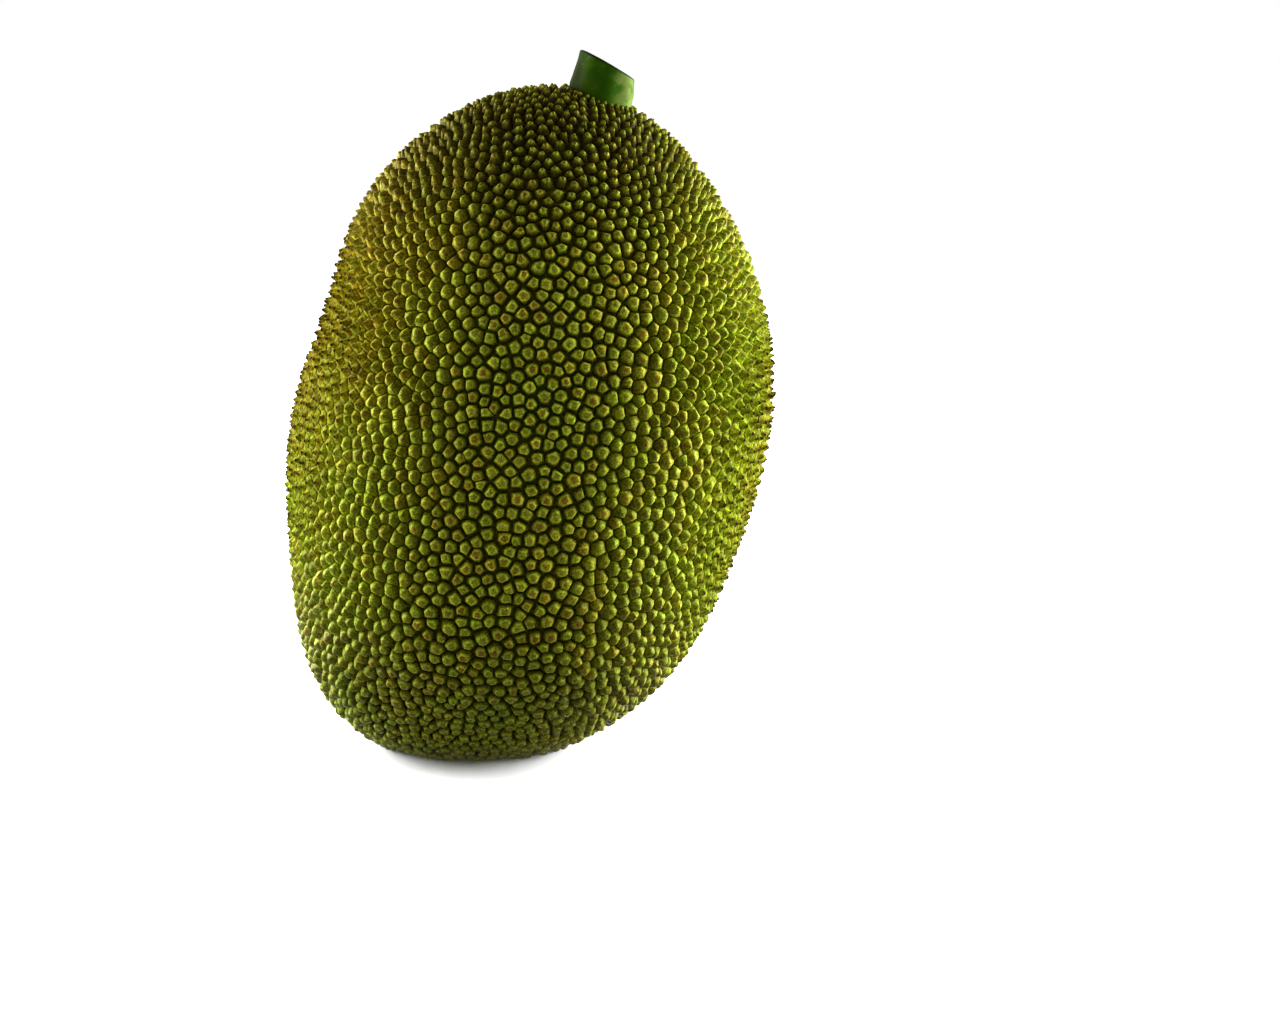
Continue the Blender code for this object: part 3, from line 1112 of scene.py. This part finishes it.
@dataclass(frozen=True)
class RindFinish:
    """The waxy green of the knobs: dark at the root, yellow-green on the flanks, brown at the tip.

    Noises are in cells to the metre, and a share says how thickly a layer is laid on. Bands of the
    fruit's height and width are in metres, and the others are in the values stored on the mesh.
    """

    root: Colour = (0.095, 0.080, 0.003)
    green: Colour = (0.170, 0.200, 0.004)
    flank: Colour = (0.29, 0.34, 0.004)
    # A pale rim on each knob: partly its own paler colour, partly a painted highlight.
    pale_rim_and_highlight: Colour = (0.47, 0.54, 0.040)
    top: Colour = (0.23, 0.235, 0.010)
    worn: Colour = (0.23, 0.135, 0.006)
    # Painted shade, brown and green, on the inner sides of the knobs between the front and the
    # sides.
    painted_shade_brown: Colour = (0.150, 0.115, 0.007)
    painted_shade_green: Colour = (0.115, 0.165, 0.006)
    dry: Colour = (0.050, 0.026, 0.005)
    leafy: Colour = (0.90, 1.03, 1.00)
    tanned: Colour = (1.15, 0.78, 1.00)
    # Dark brown low on the crown's knobs: partly the crown's own brown, partly painted shade.
    crown_brown_and_shade: Colour = (0.090, 0.065, 0.005)
    patch: Colour = (0.075, 0.052, 0.004)
    dust: Colour = (0.16, 0.15, 0.075)
    stops: tuple[float, ...] = (0.0, 0.30, 0.54, 0.70, 0.79, 0.86, 0.94)
    roughness: float = 0.40
    rougher_blotches: float = 0.22
    matt_share: float = 0.45
    shine: float = 0.04
    blotches: float = 900.0
    unevenness: float = 0.20
    turned_unevenness: float = 0.40
    # Where the knobs' roots get the flank's colour as painted light.
    lit_valleys_aside: Band = (0.22, 0.50)
    lit_valleys_share: float = 0.80
    flank_share: float = 0.95
    flank_less: float = 0.45
    flank_less_over: Band = (0.60, 0.95)
    # Where a knob's outer side gets a painted highlight and its inner side painted shade.
    lit_and_shaded_aside: Band = (0.16, 0.50)
    outer_side: Band = (0.06, 0.34)
    far_side_shade: Band = (-0.10, -0.50)
    far_side_shade_share: float = 0.75
    highlight_starts: Band = (0.10, 0.24)
    highlight_ends: Band = (0.90, 0.72)
    shade_starts: Band = (0.30, 0.55)
    painted_shade_share: float = 0.85
    painted_shade_spots: Spots = Spots(620.0, 0.44, 0.58)
    mottles: Spots = Spots(430.0, 0.34, 0.66)
    clouds: Spots = Spots(14.0, 0.35, 0.65, 2.0)
    # Towards the two sides: a browner tan, and painted shade.
    side_shade_and_tan_aside: Band = (0.84, 1.00)
    near_crown: Band = (0.24, 0.325)
    sunny_left: Band = (0.0, -0.09)
    sunny_up: Band = (0.12, 0.24)
    tan_least: float = -0.30
    tan_shares: tuple[float, ...] = (0.40, 0.25, 0.50, 0.30, 0.30, 0.55)
    crown_groove_up_to: Band = (0.80, 0.40)
    crown_groove_share: float = 0.85
    patches: Spots = Spots(760.0, 0.54, 0.62)
    patches_aside: Band = (0.05, 0.60)
    patch_share: float = 0.65
    worn_warmth: Band = (0.55, 0.95)
    dry_spininess: Band = (0.40, 0.80)
    drier_by_warmth: float = 0.30
    nub_starts: Band = (0.885, 0.935)
    nub_lower_on_spines: float = 0.17
    tone_least: float = 0.80
    tone_range: float = 0.45
    # Painted shade towards the two sides.
    painted_side_shade: float = 0.15
    # Painted shadow near the foot.
    painted_foot_shade: float = 0.40
    # Painted shade towards the crown.
    painted_crown_shade: float = 0.55
    painted_shade_below: Band = (0.12, 0.03)
    mottle_bright: float = 1.15
    mottle_darker: float = 0.15
    mottle_darker_on_spines: float = 0.50
    speckles: float = 1100.0
    speckle_contrast: float = 3.0
    near_table: Band = (0.016, 0.0)
    dust_share: float = 0.50
    matt_aside: Band = (0.50, 0.85)
    grain: float = 1200.0
    grain_depth: float = 0.25 * MM
    grain_strength: float = 0.80

    def material(self) -> bpy.types.Material:
        """The finish, laid on in turn: the rise, painted light and shade on a knob's two sides,
        tan, the crown's dark brown, tips, and tone with painted shade.

        Returns:
            The material.
        """
        pen = Nodes(bpy.data.materials.new("rind_knobs"))
        rise, tone, warmth = pen.value("rise"), pen.value("tone"), pen.value("warmth")
        spiny, aside = pen.value("spiny"), pen.value("aside")
        sideways, upwards = pen.coordinate("X"), pen.coordinate("Z")
        edge, high = pen.step(aside, *self.side_shade_and_tan_aside), pen.step(upwards, *self.near_crown)
        blotch = pen.noise(self.blotches, 4.0)
        uneven = rise + (blotch - 0.5) * self.unevenness
        # Along the rise: dark roots, green, flank, a pale rim that is partly a painted highlight,
        # and the top.
        bands = (self.root, self.root, self.green, self.flank, self.pale_rim_and_highlight, self.pale_rim_and_highlight)
        colour = pen.ramp(uneven, list(zip(self.stops, (*bands, self.top))))
        # Painted light: towards the two sides the dark roots and lower flanks are painted in the
        # flank's yellow-green, as the side lamps would light the grooves there.
        lit_valleys = pen.math("MAXIMUM", spiny, pen.step(aside, *self.lit_valleys_aside) * self.lit_valleys_share)
        less = pen.step(rise, *self.flank_less_over) * self.flank_less
        colour = pen.mix(lit_valleys * (self.flank_share - less), colour, self.flank)

        # Painted light and shade: between the front and the sides, a knob's outer side gets a pale
        # painted highlight, its top and inner side painted brown-green shade, and its far inner
        # flank the dark root colour as painted shade.
        between = pen.step(aside, *self.lit_and_shaded_aside) * (1.0 - spiny)
        turned = pen.value("outer") + pen.noise(self.blotches, 2.0) * self.turned_unevenness
        outer = pen.step(turned, *self.outer_side)
        painted_highlight = pen.step(uneven, *self.highlight_starts) * pen.step(uneven, *self.highlight_ends) * outer
        colour = pen.mix(painted_highlight * between, colour, self.pale_rim_and_highlight)
        inside = between * pen.step(uneven, *self.shade_starts) * (1.0 - outer)
        shaded = pen.mix(pen.spots(self.painted_shade_spots), self.painted_shade_brown, self.painted_shade_green)
        colour = pen.mix(inside * self.painted_shade_share, colour, shaded)
        hidden = pen.step(turned, *self.far_side_shade) * between
        colour = pen.mix(hidden * self.far_side_shade_share, colour, self.root)

        mottled = pen.spots(self.mottles)
        sunny = pen.step(sideways, *self.sunny_left) * pen.step(upwards, *self.sunny_up)
        tan = warmth * self.tan_shares[0] + self.tan_least
        tanning = (pen.spots(self.clouds), mottled, edge, high, sunny)
        for share, part in zip(self.tan_shares[1:], tanning):
            tan = tan + part * share
        colour = pen.mix(1.0, colour, pen.mix(tan, self.leafy, self.tanned), "MULTIPLY")
        # Near the crown the knobs' lower parts are dark brown: partly the crown's own brown, partly
        # painted shade in its grooves.
        crown_grooves = high * pen.step(rise, *self.crown_groove_up_to)
        colour = pen.mix(crown_grooves * self.crown_groove_share, colour, self.crown_brown_and_shade)
        patch = pen.spots(self.patches) * pen.step(aside, *self.patches_aside)
        colour = pen.mix(patch * self.patch_share, colour, self.patch)

        worn = pen.mix(pen.step(warmth, *self.worn_warmth), self.top, self.worn)
        dried = pen.step(spiny + warmth * self.drier_by_warmth, *self.dry_spininess)
        nub = pen.step(uneven + spiny * self.nub_lower_on_spines, *self.nub_starts)
        colour = pen.mix(nub, colour, pen.mix(dried, worn, self.dry))

        # Painted shade: darker towards the fruit's two sides.
        shade = (tone * self.tone_range + self.tone_least) * (1.0 - edge * self.painted_side_shade)
        darker = mottled * (spiny * self.mottle_darker_on_spines + self.mottle_darker)
        speckled = (pen.noise(self.speckles) - 0.5) * self.speckle_contrast + 1.0
        shade = shade * (self.mottle_bright - darker) * speckled
        # Painted shadow: darker low down towards the foot.
        shade = shade * (1.0 - pen.step(upwards, *self.painted_shade_below) * self.painted_foot_shade)
        # Painted shade: darker towards the crown.
        shade = shade * (1.0 - high * self.painted_crown_shade)
        grey = pen.add("CombineXYZ", {0: shade, 1: shade, 2: shade}).outputs[0]
        colour = pen.mix(1.0, colour, grey, "MULTIPLY")
        dusty = pen.step(upwards, *self.near_table) * self.dust_share
        colour = pen.mix(dusty, colour, self.dust)
        matt = pen.math("MAXIMUM", pen.step(aside, *self.matt_aside), high) * self.matt_share
        rough = (blotch - 0.5) * self.rougher_blotches + self.roughness + matt
        grain = pen.bump(pen.noise(self.grain), self.grain_depth, self.grain_strength)
        shine = {"Specular_IOR_Level": self.shine}
        return pen.finish(Base_Color=colour, Roughness=rough, Normal=grain, **shine)


@dataclass(frozen=True)
class BedFinish:
    """The dark green skin deep between the knobs, with painted light towards the two sides."""

    deep: Colour = (0.050, 0.056, 0.002)
    pale: Colour = (0.090, 0.100, 0.003)
    side_lit_green: Colour = (0.22, 0.26, 0.003)
    side_lit_beyond: Band = (0.06, 0.10)
    mottles: Spots = Spots(420.0, 0.35, 0.70, 4.0)
    grain: float = 900.0
    grain_depth: float = 0.2 * MM
    roughness: float = 0.80
    shine: float = 0.04

    def material(self) -> bpy.types.Material:
        """Two darks, mottled, and a brighter green towards the two sides, which is painted light.

        Returns:
            The material.
        """
        pen = Nodes(bpy.data.materials.new("rind_bed_skin"))
        colour = pen.mix(pen.spots(self.mottles), self.deep, self.pale)
        # Painted light: brighter towards the two sides, where the side lamps reach into the
        # grooves.
        side_lit_green = pen.step(pen.math("ABSOLUTE", pen.coordinate("X")), *self.side_lit_beyond)
        colour = pen.mix(side_lit_green, colour, self.side_lit_green)
        grain = pen.bump(pen.noise(self.grain), self.grain_depth)
        shine = {"Specular_IOR_Level": self.shine}
        return pen.finish(Base_Color=colour, Roughness=self.roughness, Normal=grain, **shine)


@dataclass(frozen=True)
class StalkFinish:
    """Dark green bark, with painted shade on its left and a pale painted highlight on its right, a
    dried rim, and a cut face ringed round its pith.
    """

    bark: Colour = (0.030, 0.100, 0.001)
    bark_light: Colour = (0.075, 0.17, 0.002)
    # Painted shade on the stalk's left side.
    painted_shade_bark: Colour = (0.016, 0.026, 0.001)
    # Painted highlight on the stalk's right side.
    streak_and_highlight: Colour = (0.15, 0.22, 0.040)
    rim: Colour = (0.018, 0.018, 0.006)
    flesh: Colour = (0.52, 0.50, 0.26)
    pith: Colour = (0.62, 0.52, 0.34)
    stain: Colour = (0.20, 0.12, 0.045)
    painted_shade_side: Band = (0.033, 0.023)
    highlight_side: Band = (0.037, 0.046)
    pith_within: Band = (0.36, 0.26)
    skin_beyond: Band = (0.80, 0.97)
    on_rim: Band = (0.10, 0.45)
    on_face: Band = (0.80, 0.98)
    streaks: float = 90.0
    streaks_twisted: float = 0.6
    highlight_streaks: Band = (0.30, 0.55)
    lighter_streaks: Band = (0.30, 0.66)
    lighter_below: float = 0.25
    specks: Spots = Spots(700.0, 0.66, 0.74, 2.0)
    speck_share: float = 0.20
    ring_turns: float = 42.0
    ring_widths: Band = (0.2, 0.9)
    ring_share: float = 0.25
    stains: Spots = Spots(260.0, 0.55, 0.75, 4.0)
    roughness: float = 0.85
    cut_smoother: float = 0.05
    grain: float = 500.0
    grain_streaks: float = 1.5
    grain_depth: float = 0.15 * MM
    grain_strength: float = 0.50
    shine: float = 0.04

    def material(self) -> bpy.types.Material:
        """Bark, rim and cut face, told apart by the values stored on the mesh.

        Returns:
            The material.
        """
        pen = Nodes(bpy.data.materials.new("stalk_skin"))
        cut, out, side = pen.value("cut"), pen.value("out"), pen.coordinate("X")
        streak_and_highlight = pen.noise(self.streaks, Distortion=self.streaks_twisted)
        lighter = streak_and_highlight - pen.value("along") * self.lighter_below
        bark = pen.mix(pen.step(lighter, *self.lighter_streaks), self.bark, self.bark_light)
        # Painted shade: the bark is darker on the stalk's left side.
        bark = pen.mix(pen.step(side, *self.painted_shade_side), bark, self.painted_shade_bark)
        # Painted highlight: a pale streaky sheen on the stalk's right side.
        painted_stalk_highlight = pen.step(side, *self.highlight_side) * pen.step(streak_and_highlight, *self.highlight_streaks)
        bark = pen.mix(painted_stalk_highlight, bark, self.streak_and_highlight)
        bark = pen.mix(pen.spots(self.specks) * self.speck_share, bark, self.flesh)
        rings = pen.step(pen.math("SINE", out * self.ring_turns), *self.ring_widths)
        face = pen.mix(rings * self.ring_share, self.flesh, self.stain)
        face = pen.mix(pen.step(out, *self.pith_within), face, self.pith)
        face = pen.mix(pen.spots(self.stains), face, self.stain)
        face = pen.mix(pen.step(out, *self.skin_beyond), face, self.bark_light)
        skin = pen.mix(pen.step(cut, *self.on_face), self.rim, face)
        colour = pen.mix(pen.step(cut, *self.on_rim), bark, skin)
        rough = self.roughness - cut * self.cut_smoother
        bumps = pen.noise(self.grain) + streak_and_highlight * self.grain_streaks
        grain = pen.bump(bumps, self.grain_depth, self.grain_strength)
        shine = {"Specular_IOR_Level": self.shine}
        return pen.finish(Base_Color=colour, Roughness=rough, Normal=grain, **shine)


@dataclass(frozen=True)
class Softbox:
    """A large soft lamp beside the fruit, at an azimuth and height seen from its middle."""

    name: str
    azimuth: float
    elevation: float
    distance: float
    width: float
    height: float
    power: float

    def hang(self, middle: Vector) -> None:
        """Make the lamp.

        Args:
            middle: the place that it faces, the fruit's middle.
        """
        lamp = bpy.data.lights.new(self.name, "AREA")
        lamp.shape = "RECTANGLE"
        lamp.size, lamp.size_y = self.width, self.height
        lamp.energy = self.power
        made = new_object(self.name, lamp)
        a, e = math.radians(self.azimuth), math.radians(self.elevation)
        away = Vector((math.sin(a) * math.cos(e), -math.cos(a) * math.cos(e), math.sin(e)))
        made.location = middle + away * self.distance
        made.rotation_euler = away.to_track_quat("Z", "Y").to_euler()


@dataclass(frozen=True)
class Studio:
    """A white table, softboxes behind and beside the fruit, a soft surround and the camera."""

    lamps: tuple[Softbox, ...] = (
        Softbox("back_left", -124, 14, 1.4, 0.9, 0.7, 40),
        Softbox("back_right", 124, 12, 1.4, 0.9, 0.7, 47),
        Softbox("left_box", -96, 10, 1.25, 0.9, 0.45, 14),
        Softbox("right_box", 96, 10, 1.25, 0.9, 0.45, 24),
    )
    surround: float = 0.29
    reflected: float = 0.03
    sky: float = 3.8
    sky_softness: float = math.radians(100)
    sky_tilt: float = math.radians(18)
    floor_size: float = 12.0
    floor_colour: Colour = (0.86, 0.86, 0.86)
    floor_worn: Colour = (0.80, 0.80, 0.80)
    floor_wear: Spots = Spots(2.5, 0.2, 0.8, 2.0)
    floor_wear_share: float = 0.02
    floor_roughness: float = 0.55
    camera_height: float = math.radians(10)
    camera_distance: float = 1.4
    lens: float = 80.4
    fruit_aside: float = 57.7 * MM
    fruit_above: float = 47 * MM
    sight_height: float = 164 * MM

    def set_floor(self) -> None:
        """The table that the fruit stands on."""
        half = self.floor_size / 2
        corners = np.array([[-half, -half, 0], [half, -half, 0], [half, half, 0], [-half, half, 0]])
        floor = mesh_object("table", corners, [np.array([[0, 1, 2, 3]])])
        pen = Nodes(bpy.data.materials.new("table_top"))
        wear = pen.spots(self.floor_wear) * self.floor_wear_share
        colour = pen.mix(wear, self.floor_colour, self.floor_worn)
        made = pen.finish(Base_Color=colour, Roughness=self.floor_roughness)
        floor.data.materials.append(made)
        floor.visible_diffuse = False
        lit = bpy.data.collections.new("lit_from_above")
        lit.objects.link(floor)
        sun = bpy.data.lights.new("sky_over_table", "SUN")
        sun.energy, sun.angle = self.sky, self.sky_softness
        made = new_object("sky_over_table", sun)
        made.rotation_euler = (-self.sky_tilt, -self.sky_tilt, 0)
        made.light_linking.receiver_collection = lit

    def set_surround(self) -> None:
        """A white surround to look at, which lights the fruit only dimly."""
        pen = Nodes(bpy.data.worlds.new("surround"))
        ray = pen.add("LightPath").outputs
        inputs = {"Value": ray["Is Glossy Ray"], "To Min": self.surround, "To Max": self.reflected}
        mirrored = pen.add("MapRange", inputs).outputs["Result"]
        inputs = {"Value": ray["Is Camera Ray"], "To Min": mirrored, "To Max": 1.0}
        strength = pen.add("MapRange", inputs).outputs["Result"]
        white = (1.0, 1.0, 1.0, 1.0)
        bpy.context.scene.world = pen.finish("Background", Color=white, Strength=strength)

    def set_camera(self, egg: Egg) -> None:
        """The camera, a little above the fruit, aimed to the right of its middle and below it.

        Args:
            egg: the egg that the fruit follows.
        """
        lens = bpy.data.cameras.new("camera")
        lens.lens = self.lens
        made = new_object("camera", lens)
        cos, sin = math.cos(self.camera_height), math.sin(self.camera_height)
        back, up = Vector((0, -cos, sin)), Vector((0, sin, cos))
        sight = Vector((*egg.shift, self.sight_height))
        aim = sight + Vector((1, 0, 0)) * self.fruit_aside - up * self.fruit_above
        made.location = sight + back * self.camera_distance
        made.rotation_euler = (aim - made.location).to_track_quat("-Z", "Y").to_euler()
        bpy.context.scene.camera = made

    def build(self, egg: Egg) -> None:
        """Set up everything that isn't the fruit.

        Args:
            egg: the egg that the fruit follows.
        """
        self.set_floor()
        self.set_surround()
        for lamp in self.lamps:
            lamp.hang(Vector(egg.centre))
        self.set_camera(egg)
        bpy.context.scene.view_settings.view_transform = "Standard"


def place(piece: bpy.types.Object, material: bpy.types.Material, node: str, slot: str) -> None:
    """Dress a piece and let it stand for a solid.

    Args:
        piece: the finished mesh.
        material: its finish.
        node: the solid that it stands for.
        slot: the name of a material slot; not used.
    """
    piece.data.materials.append(material)
    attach(piece, BODY)
    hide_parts(node)
    LOG.info("%s: %d faces", piece.name, len(piece.data.polygons))


def main() -> None:
    """Build the fruit, its stalk and the studio, and write down how large they are."""
    logging.basicConfig(level=logging.INFO, format="%(name)s: %(message)s")
    egg = Egg.centred_in(*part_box("fruit"))
    stalk = Stalk(egg)
    rind = KnobbedRind(egg, stalk.clearing)
    LOG.info("%d knobs, pitch %.2f mm", len(rind.roots), np.median(rind.pitches) / MM)
    knob_finish = RindFinish().material()
    place(rind.build_bed(), BedFinish().material(), "fruit", "rind")
    for zone in Zone:
        place(rind.build_knobs(zone), knob_finish, "fruit", "rind")
    place(stalk.build(), StalkFinish().material(), "stalk", "stalk_skin")
    Studio().build(egg)


if __name__ == "__main__":
    main()
